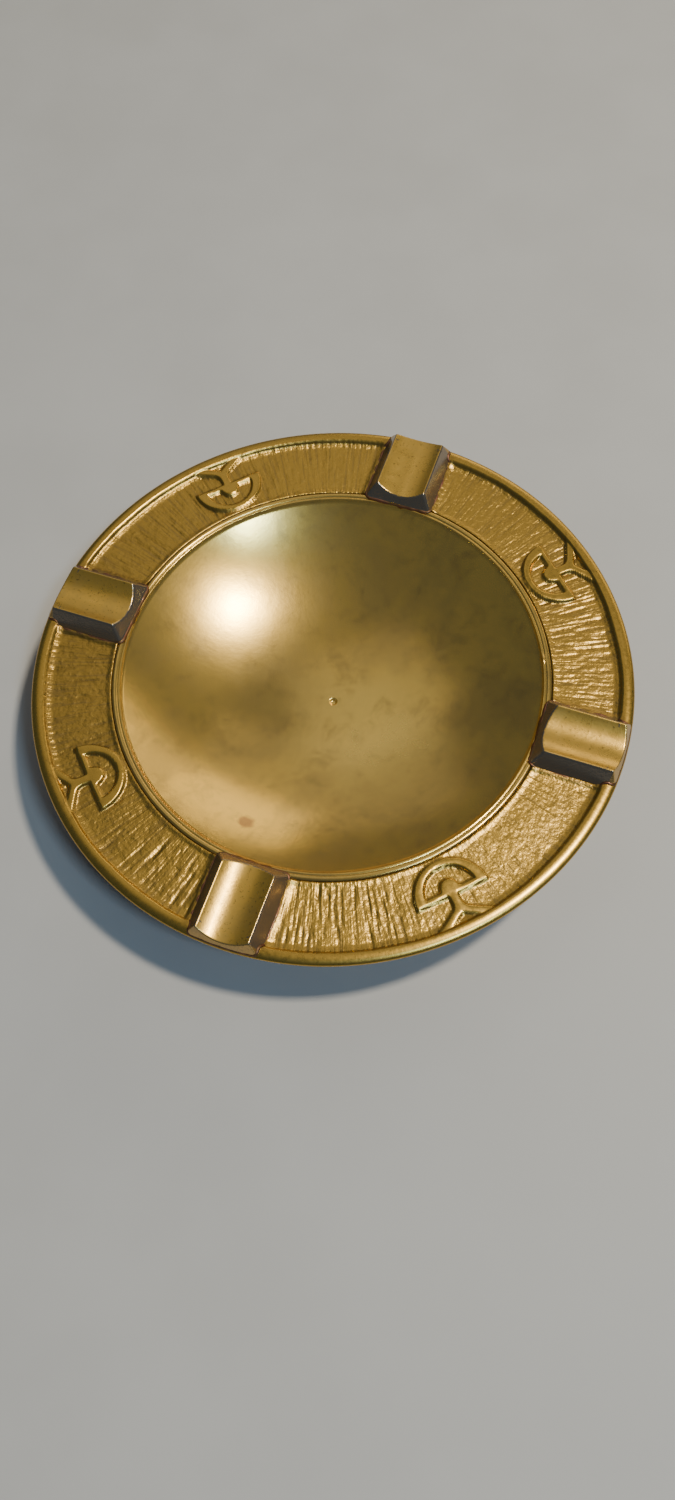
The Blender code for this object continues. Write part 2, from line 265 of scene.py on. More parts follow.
def rest_distance(angles, radii):
    """Distance outwards from the long sides of the nearest rest's foot, negative under the rest."""
    turned = np.mod(angles + pi / 4, pi / 2) - pi / 4
    return np.abs(radii * np.sin(turned)) - REST_HALF


def chased_strokes(angles, radii):
    """Depth of the strokes struck into the panels, nearly all pointing at the axis."""
    depth = np.zeros_like(radii)
    rng = np.random.default_rng(11)
    middle = 0.5 * (PANEL_INNER + RIM_RADIUS)
    # Each stroke has a place, a length, a width, a depth and a lean from the radius
    for _ in range(STROKES):
        centre = rng.uniform(0, 2 * pi)
        start = rng.uniform(PANEL_INNER - 0.002, RIM_RADIUS - 0.008)
        end = start + rng.uniform(0.0025, 0.0125)
        width = rng.uniform(0.00026, 0.00046)
        busy = 0.62 + 0.38 * float(round_noise(np.array([centre]), 11, 12)[0])
        strength = rng.uniform(0.15, 1.0) ** 2 * STROKE_DEPTH * busy
        lean = rng.normal(0, 0.03)
        offset = (angles - centre + pi) % (2 * pi) - pi
        near = np.abs(offset) * middle < 0.0035  # no stroke reaches further, so the rest is skipped
        r = radii[:, near]
        across = offset[near] * r - lean * (r - 0.5 * (start + end))
        window = smoothstep(start, start + 0.002, r) * (1 - smoothstep(end - 0.002, end, r))
        depth[:, near] += strength * window * np.exp(-((across / width) ** 2))
    return depth


def rim_angles():
    """Columns round the rim, closest together across the figures and widest under the rests."""
    fine, plain, covered = 0.00022, 0.00036, 0.0009
    figure_reach, rest_reach = 9.5, 7  # degrees from the middle of each
    sample = 0.5  # degrees
    step = []
    for degree in np.arange(0, 90, sample):
        from_figure = abs(degree - 45)
        from_rest = min(degree, 90 - degree)
        width = fine if from_figure < figure_reach else covered if from_rest < rest_reach else plain
        step.append(width / PANEL_MIDDLE)
    density = 1 / np.array(step)
    count = 4 * int(round(density.sum() * radians(sample)))
    cumulative = np.concatenate([[0], np.cumsum(np.tile(density, 4))])
    places = np.linspace(0, cumulative[-1], count, endpoint=False)
    return np.interp(places, cumulative, np.linspace(0, 2 * pi, len(cumulative)))


def rim_low_profile():
    """(radius, height) along the rim's underside, up its hole, out along the seat and up to the panel."""
    underside = RIM_UNDERSIDE - LIP_PLANE
    profile = [
        (0.0806, underside + 0.0006),
        (0.0776, underside),
        (0.0720, underside),
        (0.0660, underside),
        (RIM_HOLE + CORNER, underside),
        (RIM_HOLE, underside + CORNER),
        (RIM_HOLE, SEAT_Z - CORNER),
        (RIM_HOLE + CORNER, SEAT_Z),
        (SEAT_RADIUS - CORNER, SEAT_Z),
        (SEAT_RADIUS, SEAT_Z + CORNER),
        (SEAT_RADIUS, PANEL_Z),
    ]
    return np.array(profile)


def panel_floor(angles, radii, across, strokes, near_rest, margin):
    """Height of the panels: beaten, struck with strokes, and rising to the bowl's lip and the rests."""
    floor = PANEL_Z + 0.00006 * smooth_noise(angles, across, 60, 3, 31)
    floor = floor + 0.00003 * smooth_noise(angles, across, 280, 8, 32)
    floor = floor + 0.00003 * smooth_noise(angles, across, 900, 40, 33)
    shoulder = 1 - smoothstep(SEAT_RADIUS + 0.0004, PANEL_INNER + 0.0002 + 0.0003 * margin, radii)
    floor = floor - strokes * (1 - shoulder) * (1 - near_rest) + (0.0003 * (1 - 0.4 * margin)) * shoulder
    return floor + 0.00045 * near_rest


def make_rim(material):
    """The rim's surface, ring by ring: out over the panels, up and over the lip, and back underneath."""
    angles = rim_angles()
    inner_lip = lip_inner(angles)
    margin = 0.5 + 0.5 * round_noise(angles, 90, 21)
    crest_r = RIM_RADIUS - CREST_INSET
    crest_z = LIP_TOP - LIP_PLANE - 0.00006 + 0.00005 * round_noise(angles, 23, 8)

    # The panels
    panel_start = SEAT_RADIUS + 0.0001 * margin
    panel_r = panel_start + (inner_lip - panel_start) * np.linspace(0, 1, 43)[:, None]
    side_r = inner_lip + (crest_r - inner_lip) * np.linspace(0, 1, 9)[1:, None]
    top_r = np.concatenate([panel_r, side_r])
    top_angles = np.broadcast_to(angles, top_r.shape)
    across = (top_r - SEAT_RADIUS) / (RIM_RADIUS - SEAT_RADIUS)
    strokes = chased_strokes(angles, top_r)
    from_rest = rest_distance(top_angles, top_r)
    near_rest = np.exp(-((np.maximum(from_rest - 0.0004, 0) / 0.0009) ** 2))
    floor = panel_floor(top_angles, top_r, across, strokes, near_rest, margin)
    floor = floor + 0.00040 * smoothstep(-0.0016, 0.0, top_r - inner_lip)

    # The lip's inner side, climbing from the panel to the crest
    climb = 1 - (1 - np.clip((top_r - inner_lip) / (crest_r - inner_lip), 0, 1)) ** 3
    top_z = floor + (crest_z - floor) * climb

    # The relief figures, with crowned tops
    distance = figures(top_angles, top_r)
    raised = smoothstep(0.00020, -0.00030, distance)
    crown = FIGURE_TOP_Z - 0.00014 * np.exp(distance / 0.0006)
    crown = crown + 0.00003 * smooth_noise(top_angles, across, 260, 14, 35)
    top_z = np.where(raised > 0, soft_max(top_z, top_z + (crown - top_z) * raised, 0.00005), top_z)

    # The lip's rounded edge, the curl below it and the underside
    every_column = 0 * inner_lip
    roll = np.radians(np.linspace(90, 0, 9))[1:, None]
    roll_r = crest_r + (RIM_RADIUS - crest_r) * np.cos(roll) + every_column
    roll_z = ROLL_Z + (crest_z - ROLL_Z) * np.sin(roll)
    under = np.radians(np.linspace(0, -80, 5))[1:, None]
    under_r = RIM_RADIUS - UNDER_ROUND + UNDER_ROUND * np.cos(under) + every_column
    under_z = ROLL_Z + UNDER_ROUND * np.sin(under) + every_column
    low_r, low_z = (values[:, None] + every_column for values in rim_low_profile().T)
    radii = np.concatenate([top_r, roll_r, under_r, low_r])
    heights = np.concatenate([top_z, roll_z, under_z, low_z]) + LIP_PLANE
    rim = ring_grid("rim_surface", angles, radii, heights, closed_section=True)

    # Where grime and oxide gather: the panels and their strokes, their corners at the lip and beside the
    # rests, and along the foot of each figure.
    # Painted shade as well: a darker band at the seam with the bowl, and panels darker towards two
    # opposite sides, as the lamps leave them.
    foot_of_figure = np.exp(-np.abs(distance - 0.0002) / 0.0005) * (distance > -0.0002)
    foot_of_lip = np.exp(-np.abs(top_r - inner_lip - 0.0002) / 0.0006)
    # Painted shade: a darker band along the panels' inner edge, in the seam with the bowl
    painted_seam_shade = 1 - smoothstep(SEAT_RADIUS, SEAT_RADIUS + 0.0006, top_r)
    hollow = (1 - raised) * (1 - climb)
    # Painted shade: panels darker towards 20 and 200 degrees, the two sides that the lamps leave dim
    painted_side_shade = 0.5 + 0.5 * np.cos(2 * (top_angles - radians(20)))
    dirt_and_painted_shade = hollow * (0.05 + 0.28 * painted_side_shade + 1700 * strokes)
    dirt_and_painted_shade = dirt_and_painted_shade + 0.50 * foot_of_figure + 0.35 * foot_of_lip + 0.35 * painted_seam_shade
    dirt_and_painted_shade = dirt_and_painted_shade + 0.45 * near_rest * (from_rest > 0)
    point_values(rim, "tarnish_and_painted_shade", np.clip(dirt_and_painted_shade, 0, 1))
    point_values(rim, "rough", np.clip(hollow, 0, 1))
    stand_for(rim, material, "rim_brass", "rim")


# --- Bowl, foot and solder rings --------------------------------------------------------------

def bead(from_edge, middle, half_width, height):
    """A half-round bead on the bowl's lip."""
    return height * np.sqrt(np.clip(1 - ((from_edge - middle) / half_width) ** 2, 0, 1))


def make_bowl(material):
    """The bowl's surface, ring by ring: out from the lathe's centre mark, over the lip and back below."""
    angles = np.linspace(0, 2 * pi, 480, endpoint=False)
    mark_r = np.array([0.3, 0.6, 0.8, 1.0, 1.2, 1.4, 1.7, 2.1]) / 1000
    mark_z = np.array([-0.62, -0.60, -0.48, -0.20, 0.02, 0.06, 0.03, 0.0]) / 1000 + BOWL_FLOOR_Z
    inner = np.linspace(mark_r[-1], BOWL_EDGE, 62)[1:]
    from_edge = np.linspace(0, BOWL_LIP_RADIUS - BOWL_EDGE, 34)[1:]
    edge_bead = bead(from_edge, 0.00040, 0.00050, 0.00038)
    main_bead = bead(from_edge, 0.00158, 0.00086, 0.00060)
    lip_z = BOWL_LIP - LIP_PLANE - 0.00060 + np.maximum(edge_bead, main_bead)
    flange_z = SEAT_Z + 0.0003
    outer = np.linspace(BOWL_EDGE, 0.0004, 40)
    rows = [mark_r, inner, BOWL_EDGE + from_edge, [BOWL_LIP_RADIUS, RIM_HOLE - 0.0003], outer]
    levels = [mark_z, bowl_inside(inner), lip_z, [flange_z, flange_z], bowl_outside(outer)]
    radii = np.concatenate(rows)[:, None] + 0 * angles
    heights = np.concatenate(levels)[:, None] + 0 * angles

    from_drop = np.hypot(radii - DROP_RADIUS, radii * (angles - DROP_ANGLE)) / DROP_SPREAD
    on_top = (radii > BOWL_EDGE - 0.001) * (heights > SEAT_Z + 0.0005)
    heights = heights + DROP_HEIGHT * np.exp(-(from_drop**2)) * on_top
    bowl = ring_grid("bowl_surface", angles, radii, heights + LIP_PLANE, closed_section=False)

    # Grime between the beads and under the bowl; painted shade on the lip's outer edge, in the seam with
    # the rim
    lip = (radii > BOWL_EDGE) * (heights > SEAT_Z + 0.0004)
    groove = np.exp(-(((radii - BOWL_EDGE - 0.00087) / 0.00012) ** 2)) * lip
    # Painted shade: the lip's outer edge darkened where it meets the rim
    painted_lip_side_shade = smoothstep(0.0022, 0.0024, radii - BOWL_EDGE) * lip
    below = (heights < bowl_inside(radii) - 0.0005) & (radii > 0.003)
    point_values(bowl, "tarnish_and_painted_shade", np.clip(0.2 * groove + 0.4 * painted_lip_side_shade + 0.5 * below, 0, 1))
    stand_for(bowl, material, "bowl_brass", "bowl")


def make_turned_copy(name, node, material, slot, rounding):
    """A finely turned copy of a CAD ring: its section is read from the node and its corners rounded."""
    section = cad_section(node)
    for _ in range(2):
        section = cut_corners(section, rounding)
    angles = np.linspace(0, 2 * pi, 288, endpoint=False)
    radii = np.array([p[0] for p in section])[:, None] + 0 * angles
    heights = np.array([p[1] for p in section])[:, None] + 0 * angles
    piece = ring_grid(name, angles, radii, heights, closed_section=True)
    stand_for(piece, material, slot, node)


def cad_section(node):
    """The ring of (radius, height) points in which a CAD ring meets the plane of +X and Z, clockwise."""
    points = {
        (round(v.co.x, 6), round(v.co.z, 6))
        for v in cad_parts[node].data.vertices
        if abs(v.co.y) < 1e-6 and v.co.x > 0
    }
    middle = np.mean(list(points), axis=0)
    return sorted(points, key=lambda p: -np.arctan2(p[1] - middle[1], p[0] - middle[0]))


def cut_corners(section, rounding):
    """Each corner replaced by two points, at most rounding from it."""
    cut = []
    for i, here in enumerate(section):
        for other in (section[i - 1], section[(i + 1) % len(section)]):
            gap = np.hypot(other[0] - here[0], other[1] - here[1])
            share = min(0.25, rounding / gap)
            cut.append((here[0] + (other[0] - here[0]) * share, here[1] + (other[1] - here[1]) * share))
    return cut


# --- Rests and their solder -------------------------------------------------------------------

def eased(count, crowd):
    """Shares from 0 to 1, crowded towards both ends."""
    t = np.linspace(0, 1, count)
    return (1 - crowd) * t + crowd * (0.5 - 0.5 * np.cos(pi * t))


def rest_height(x, y):
    """Height of a rest's surface, which is the lowest of its trough, sides and ends, with worn edges."""
    rise = REST_TOP - LIP_PLANE - PANEL_Z
    base = LIP_PLANE + PANEL_Z
    trough_axis = REST_TOP + (TROUGH_RADIUS**2 - TROUGH_HALF**2) ** 0.5
    trough = trough_axis - np.sqrt(TROUGH_RADIUS**2 - y**2)
    side = base + (REST_BASE_HALF - np.abs(y)) * rise / (REST_BASE_HALF - REST_TOP_HALF)
    start = base + (x - REST_BASE_START) * rise / (REST_TOP_START - REST_BASE_START)
    lean = (REST_TOP - LIP_TOP) / (REST_END - REST_TOP_END)
    end = REST_TOP + (REST_TOP_END - np.hypot(x, y)) * lean
    # Each edge is worn over the width that its soft_min gives
    flank = soft_min(soft_min(side, start, 0.0013), end, 0.0009)
    return soft_min(np.minimum(trough, REST_TOP), flank, 0.00032)


def corner_inset(from_end):
    """How far a rest's long side draws in near its rounded corners."""
    inside = np.clip(1 - from_end / REST_CORNER, 0, 1)
    return REST_CORNER * (1 - np.sqrt(1 - inside**2))


def rest_outline(share_x, share_y):
    """A grid over a rest's foot, which narrows where the foot climbs on to the lip. The foot's height
    depends on the radius, so the outline is found in a few rounds."""
    rise = REST_TOP - LIP_PLANE - PANEL_Z
    side_slope = (REST_BASE_HALF - REST_TOP_HALF) / rise
    start_slope = (REST_TOP_START - REST_BASE_START) / rise
    length = REST_END - REST_START
    x = REST_START + length * share_x + 0 * share_y
    y = (2 * share_y - 1) * REST_HALF + 0 * share_x
    for _ in range(4):
        foot = deck(np.hypot(x, y)) + SOLDER_LIFT - PANEL_Z
        inset = corner_inset(share_x * length) + corner_inset((1 - share_x) * length)
        y = (2 * share_y - 1) * (REST_BASE_HALF - side_slope * foot - inset)
        first = REST_BASE_START + start_slope * (deck(REST_START + 0 * x) + SOLDER_LIFT - PANEL_Z)
        last = np.sqrt(REST_END**2 - y**2)
        x = first + (last - first) * share_x
    return x, y


def make_rests(rest_material, solder_material):
    """Four rests on one grid, each turned a quarter further, with their seams of solder."""
    share_x = eased(74, 0.55)[:, None]
    share_y = eased(96, 0.35)[None, :]
    x, y = rest_outline(share_x, share_y)
    floor = LIP_PLANE + deck(np.hypot(x, y)) + SOLDER_LIFT
    for i in range(4):
        # Filed by hand, so each rest is a hundredth of a millimetre or so out
        wobble = np.random.default_rng(50 + i).normal(0, 0.00001, 3)
        top = rest_height(x, y) + wobble[0] + wobble[1] * np.sin(x * 600) + wobble[2] * np.sin(y * 500)
        top = np.minimum(np.maximum(top, floor - 0.00005), REST_TOP)
        rest = double_sheet(f"rest_body_{i + 1}", x, y, top, floor - 0.00015, radians(90 * i))
        slope = np.abs(np.gradient(top, axis=0) / np.gradient(x, axis=0))
        open_top = (np.abs(y) < TROUGH_HALF + 0.0002) & (slope < 0.35)
        outer_end = np.hypot(x, y) > REST_TOP_END
        # Painted shade: flanks 1 and the outer end 0.45, darkened as the dim room they reflect would leave
        # them; the open trough 0
        painted_flank_shade = np.where(open_top, 0.0, np.where(outer_end, 0.45, 1.0))
        point_values(rest, "tarnish_and_painted_shade", painted_flank_shade)
        stand_for(rest, rest_material, "rest_brass", f"rest_{i + 1}")
        make_seam(i, solder_material)


def double_sheet(name, x, y, top, bottom, turn):
    """A closed solid between two sheets over the same grid, turned about Z."""
    rows, columns = x.shape
    upper = np.stack([x, y, top], axis=-1).reshape(-1, 3)
    lower = np.stack([x, y, np.minimum(bottom, top - 0.00005)], axis=-1).reshape(-1, 3)
    points = np.concatenate([upper, lower])
    spin = np.array([[cos(turn), -sin(turn), 0], [sin(turn), cos(turn), 0], [0, 0, 1]])
    points = points @ spin.T
    faces = []
    below = rows * columns
    for i in range(rows - 1):
        for j in range(columns - 1):
            a, b = i * columns + j, (i + 1) * columns + j
            faces.append((a, b, b + 1, a + 1))
            faces.append((below + a + 1, below + b + 1, below + b, below + a))
    ring = list(range(columns))
    ring += [i * columns + columns - 1 for i in range(1, rows)]
    ring += [(rows - 1) * columns + j for j in range(columns - 2, -1, -1)]
    ring += [i * columns for i in range(rows - 2, 0, -1)]
    for here, after in zip(ring, ring[1:] + ring[:1]):
        faces.append((here, after, below + after, below + here))
    return mesh_object(name, points, faces)


def make_seam(i, material):
    """The bead of solder round a rest's foot, on the rim's surface, uneven as hand soldering leaves it."""
    side = np.linspace(0, 1, 70)[:-1]
    end = np.linspace(0, 1, 60)[:-1]
    share_x = np.concatenate([0 * end, side, 0 * end + 1, 1 - side])
    share_y = np.concatenate([1 - end, 0 * side, end, 0 * side + 1])
    x, y = rest_outline(share_x, share_y)
    forward = np.stack([np.roll(x, -1) - np.roll(x, 1), np.roll(y, -1) - np.roll(y, 1)])
    forward = forward / np.hypot(*forward)
    out = np.stack([forward[1], -forward[0]])
    around = np.linspace(0, 2 * pi, len(x), endpoint=False)
    uneven = 0.5 + 0.5 * round_noise(around, 46, 70 + i)
    width = 0.00042 + 0.00032 * uneven
    height = 0.00040 + 0.00022 * uneven
    section = np.radians(np.linspace(0, 360, 13)[:-1])[:, None]
    reach = np.cos(section) * width + 0.00005
    seam_x = x + out[0] * reach
    seam_y = y + out[1] * reach
    radius = np.minimum(np.hypot(seam_x, seam_y), RIM_RADIUS - 0.0003)
    angle = np.arctan2(seam_y, seam_x)
    level = LIP_PLANE + deck(radius) + np.maximum(np.sin(section) * height, -0.00005)
    grid = ring_section_mesh(f"solder_seam_{i + 1}", radius, angle + radians(90 * i), level)
    stand_for(grid, material, "solder", f"rest_solder_{i + 1}")


def ring_section_mesh(name, radius, angle, level):
    """A closed tube from a grid of polar points: rows go round its section, columns along it."""
    rows, columns = radius.shape
    points = np.stack([radius * np.cos(angle), radius * np.sin(angle), level], axis=-1).reshape(-1, 3)
    faces = []
    for i in range(rows):
        for j in range(columns):
            k, m = (i + 1) % rows, (j + 1) % columns
            faces.append((i * columns + j, i * columns + m, k * columns + m, k * columns + j))
    return mesh_object(name, points, faces)


# --- Materials --------------------------------------------------------------------------------

# Base colours
GOLD = (0.80, 0.50, 0.110, 1)
PALE_GOLD = (0.86, 0.58, 0.145, 1)
TROUGH_GOLD = (0.76, 0.45, 0.085, 1)
CAST_GOLD = (0.62, 0.370, 0.070, 1)
RUBBED_GOLD = (0.60, 0.360, 0.070, 1)
OLIVE = (0.42, 0.285, 0.095, 1)
BROWN = (0.14, 0.080, 0.032, 1)
UMBER = (0.27, 0.18, 0.070, 1)
COPPER = (0.24, 0.095, 0.055, 1)
# The next colour is painted shade, for the dark flanks of the rests
FLANK_SHADE_BRONZE = (0.24, 0.215, 0.20, 1)
FLOOR_DARKER = (0.51, 0.48, 0.45, 1)
FLOOR_LIGHTER = (0.54, 0.51, 0.48, 1)

AGED = 0.84  # metallic value of brass under a thin oxide, which scatters some light
RIM_AGED = 0.94  # the rim's, which has less oxide
LACQUER, RIM_LACQUER, REST_LACQUER = 0.16, 0.06, 0.08  # weight of the old clear coat

# Places in the bowl, in the part's own coordinates
DULL_PATCH = (-0.0160, -0.0050, 0.0060)
# The next patch is painted light: paler colour where the lamps leave a broad glow in the bowl
PAINTED_GLOW_PATCH = (0.0150, -0.0060, 0.0060)
STAIN = (-0.0082, -0.0477, 0.0166)


def add_node(tree, kind, inputs=None, **settings):
    """A node with its settings, and its inputs given as values or as other nodes' sockets."""
    made = tree.nodes.new(kind)
    for key, value in settings.items():
        setattr(made, key, value)
    for key, value in (inputs or {}).items():
        if isinstance(value, bpy.types.NodeSocket):
            tree.links.new(value, made.inputs[key])
        else:
            made.inputs[key].default_value = value
    return made


def noise(tree, place, size, detail=4.0, roughness=0.55, distortion=0.0):
    """A noise with features of about size metres."""
    inputs = {"Vector": place, "Scale": 1 / size, "Detail": detail}
    inputs.update({"Roughness": roughness, "Distortion": distortion})
    return add_node(tree, "ShaderNodeTexNoise", inputs).outputs["Fac"]


def spread(tree, value, low, high, to_low=0.0, to_high=1.0):
    """The value's range from low to high, spread smoothly from to_low to to_high."""
    inputs = {"Value": value, "From Min": low, "From Max": high, "To Min": to_low, "To Max": to_high}
    return add_node(tree, "ShaderNodeMapRange", inputs, interpolation_type="SMOOTHSTEP").outputs["Result"]


def maths(tree, operation, a, b):
    """A sum or another operation on two values, each a number or a socket."""
    return add_node(tree, "ShaderNodeMath", {0: a, 1: b}, operation=operation).outputs[0]


def times(tree, a, b):
    return maths(tree, "MULTIPLY", a, b)


def plus(tree, a, b):
    return maths(tree, "ADD", a, b)


def blend_colours(tree, factor, a, b):
    """Colour a where the factor is 0 and colour b where it is 1."""
    node = tree.nodes.new("ShaderNodeMix")
    node.data_type = "RGBA"
    for socket, value in zip((node.inputs[0], node.inputs[6], node.inputs[7]), (factor, a, b)):
        if isinstance(value, bpy.types.NodeSocket):
            tree.links.new(value, socket)
        else:
            socket.default_value = value
    return node.outputs[2]


def bumped(tree, height, depth, normal=None):
    """The surface's normal over a height map depth metres deep, on top of another bump if given."""
    inputs = {"Height": height, "Distance": depth, "Strength": 1.0}
    if normal:
        inputs["Normal"] = normal
    return add_node(tree, "ShaderNodeBump", inputs).outputs["Normal"]


def new_metal(name):
    """A metal's material, with its tree, its shader and the place on the object, in metres."""
    material = bpy.data.materials.new(name)
    material.use_nodes = True
    tree = material.node_tree
    shader = tree.nodes["Principled BSDF"]
    shader.inputs["Metallic"].default_value = AGED
    shader.inputs["Coat Weight"].default_value = LACQUER
    shader.inputs["Coat Roughness"].default_value = 0.12
    place = tree.nodes.new("ShaderNodeTexCoord").outputs["Object"]
    return material, tree, shader, place


def attribute(tree, name):
    """A number that point_values has kept."""
    return add_node(tree, "ShaderNodeAttribute", attribute_name=name).outputs["Fac"]


def connect(tree, shader, colour, roughness, normal):
    """Joins the three results to the shader."""
    tree.links.new(colour, shader.inputs["Base Color"])
    tree.links.new(roughness, shader.inputs["Roughness"])
    tree.links.new(normal, shader.inputs["Normal"])


def radial_place(tree, place):
    """Coordinates that stretch a texture along the radius: round the rim, and a little of the radius."""
    split = add_node(tree, "ShaderNodeSeparateXYZ", {"Vector": place})
    angle = maths(tree, "ARCTAN2", split.outputs["Y"], split.outputs["X"])
    radius = add_node(tree, "ShaderNodeVectorMath", {0: place}, operation="LENGTH").outputs["Value"]
    inputs = {"X": times(tree, angle, PANEL_MIDDLE), "Y": times(tree, radius, 0.06)}
    return add_node(tree, "ShaderNodeCombineXYZ", inputs).outputs["Vector"]


def near_point(tree, place, point, inner, outer):
    """1 within inner metres of a point, falling to 0 at outer metres, with an uneven edge."""
    distance = add_node(tree, "ShaderNodeVectorMath", {0: place, 1: point}, operation="DISTANCE")
    edge = times(tree, noise(tree, place, outer * 0.5, 5, 0.65), outer * 0.9)
    shift = outer * 0.45  # what the noise adds on average
    away = plus(tree, distance.outputs["Value"], edge)
    return spread(tree, away, inner + shift, outer + shift, 1.0, 0.0)


def rim_material():
    """Cast brass, granular and combed along the radius in the panels, and rubbed where it is raised."""
    material, tree, shader, place = new_metal("rim_brass_aged")
    dirt_and_painted_shade = attribute(tree, "tarnish_and_painted_shade")
    rough = attribute(tree, "rough")
    cloud = noise(tree, place, 0.018, 5)
    speckle = noise(tree, place, 0.0012, 6, 0.7)
    colour = blend_colours(tree, spread(tree, cloud, 0.35, 0.68, 0.0, 0.6), CAST_GOLD, RUBBED_GOLD)
    colour = blend_colours(tree, spread(tree, speckle, 0.50, 0.78, 0.0, 0.45), colour, OLIVE)
    colour = blend_colours(tree, maths(tree, "SUBTRACT", 1.0, rough), colour, RUBBED_GOLD)
    # Grime and painted shade together: the seam band and the two dimmer sides of the panels darken towards
    # brown here
    stain_and_painted_shade = times(tree, dirt_and_painted_shade, spread(tree, speckle, 0.25, 0.62, 0.45, 1.0))
    colour = blend_colours(tree, times(tree, stain_and_painted_shade, 0.75), colour, BROWN)
    roughness = spread(tree, speckle, 0.3, 0.7, 0.26, 0.32)
    roughness = plus(tree, roughness, times(tree, rough, 0.05))
    grain = noise(tree, place, 0.0012, 3, 0.6)
    pits = noise(tree, place, 0.0024, 3, 0.6)
    combed = noise(tree, radial_place(tree, place), 0.0009, 2, 0.5)
    furrows = times(tree, spread(tree, combed, 0.50, 0.34, 0.0, 0.40), rough)
    colour = blend_colours(tree, furrows, colour, UMBER)
    depth = plus(tree, times(tree, grain, 1.2), times(tree, pits, 2.2))
    depth = plus(tree, depth, times(tree, combed, 2.2))
    depth = times(tree, depth, plus(tree, times(tree, rough, 0.90), 0.10))
    shader.inputs["Metallic"].default_value = RIM_AGED
    shader.inputs["Coat Weight"].default_value = RIM_LACQUER
    connect(tree, shader, colour, roughness, bumped(tree, depth, 0.00007))
    return material


def bowl_material():
    """Turned brass, clouded and mottled with age, with a dull patch, a small stain, and a paler patch that
    is painted light, a glow laid into the colour.
    """
    material, tree, shader, place = new_metal("bowl_brass_aged")
    dirt_and_painted_shade = attribute(tree, "tarnish_and_painted_shade")
    clouds = noise(tree, place, 0.024, 6, 0.62, 0.4)
    mottle = noise(tree, place, 0.0075, 8, 0.68, 0.3)
    speckle = noise(tree, place, 0.0009, 3, 0.6)
    colour = blend_colours(tree, spread(tree, clouds, 0.40, 0.64, 0.0, 0.50), GOLD, OLIVE)
    dull = near_point(tree, place, DULL_PATCH, 0.004, 0.024)
    colour = blend_colours(tree, times(tree, dull, 0.55), colour, OLIVE)
    # Painted light: paler colour and a little more roughness in a broad patch beside the centre
    painted_glow = near_point(tree, place, PAINTED_GLOW_PATCH, 0.006, 0.036)
    colour = blend_colours(tree, times(tree, painted_glow, 0.75), colour, PALE_GOLD)
    colour = blend_colours(tree, spread(tree, mottle, 0.47, 0.74, 0.0, 0.42), colour, UMBER)
    colour = blend_colours(tree, spread(tree, speckle, 0.60, 0.80, 0.0, 0.25), colour, BROWN)
    stain = near_point(tree, place, STAIN, 0.0012, 0.0030)
    colour = blend_colours(tree, times(tree, stain, 0.7), colour, COPPER)
    # Grime, and painted shade at the lip's outer edge, darken the colour towards brown
    colour = blend_colours(tree, times(tree, dirt_and_painted_shade, 0.7), colour, BROWN)
    roughness = spread(tree, clouds, 0.35, 0.7, 0.20, 0.24)
    roughness = plus(tree, roughness, times(tree, painted_glow, 0.05))
    fine = noise(tree, place, 0.0011, 4, 0.6)
    broad = noise(tree, place, 0.009, 3, 0.5)
    normal = bumped(tree, broad, 0.00003, bumped(tree, fine, 0.000010))
    connect(tree, shader, colour, roughness, normal)
    return material


def rest_material():
    """Polished in the trough, with painted shade on the flanks and the outer end: a dark bronze-grey
    standing in for the dim room they reflect.
    """
    material, tree, shader, place = new_metal("rest_brass_polished")
    painted_flank_shade = attribute(tree, "tarnish_and_painted_shade")
    clouds = noise(tree, place, 0.008, 5, 0.6, 0.3)
    pits = noise(tree, place, 0.0009, 4, 0.65)
    colour = blend_colours(tree, spread(tree, clouds, 0.42, 0.72, 0.0, 0.4), TROUGH_GOLD, OLIVE)
    colour = blend_colours(tree, spread(tree, pits, 0.58, 0.70, 0.0, 0.7), colour, BROWN)
    # Painted shade: the flanks turn dark bronze-grey and a little glossier
    colour = blend_colours(tree, times(tree, painted_flank_shade, 0.85), colour, FLANK_SHADE_BRONZE)
    roughness = spread(tree, clouds, 0.3, 0.7, 0.26, 0.34)
    roughness = maths(tree, "SUBTRACT", roughness, times(tree, painted_flank_shade, 0.10))
    shader.inputs["Coat Weight"].default_value = REST_LACQUER
    connect(tree, shader, colour, roughness, bumped(tree, pits, 0.00003))
    return material


def foot_material():
    """Dark brass, never polished since it was made."""
    material, tree, shader, place = new_metal("foot_brass_dark")
    clouds = noise(tree, place, 0.008, 5, 0.6, 0.3)
    speckle = noise(tree, place, 0.0008, 4, 0.65)
    colour = blend_colours(tree, spread(tree, clouds, 0.42, 0.72, 0.0, 0.7), OLIVE, BROWN)
    colour = blend_colours(tree, spread(tree, speckle, 0.62, 0.80, 0.0, 0.4), colour, BROWN)
    roughness = spread(tree, clouds, 0.3, 0.7, 0.34, 0.50)
    connect(tree, shader, colour, roughness, bumped(tree, speckle, 0.000015))
    return material


def solder_material():
    """Solder gone coppery brown."""
    material, tree, shader, place = new_metal("solder_coppery")
    clouds = noise(tree, place, 0.0030, 5, 0.65)
    colour = blend_colours(tree, spread(tree, clouds, 0.35, 0.65), COPPER, BROWN)
    roughness = spread(tree, clouds, 0.3, 0.7, 0.38, 0.60)
    connect(tree, shader, colour, roughness, bumped(tree, noise(tree, place, 0.0006, 4), 0.00006))
    return material


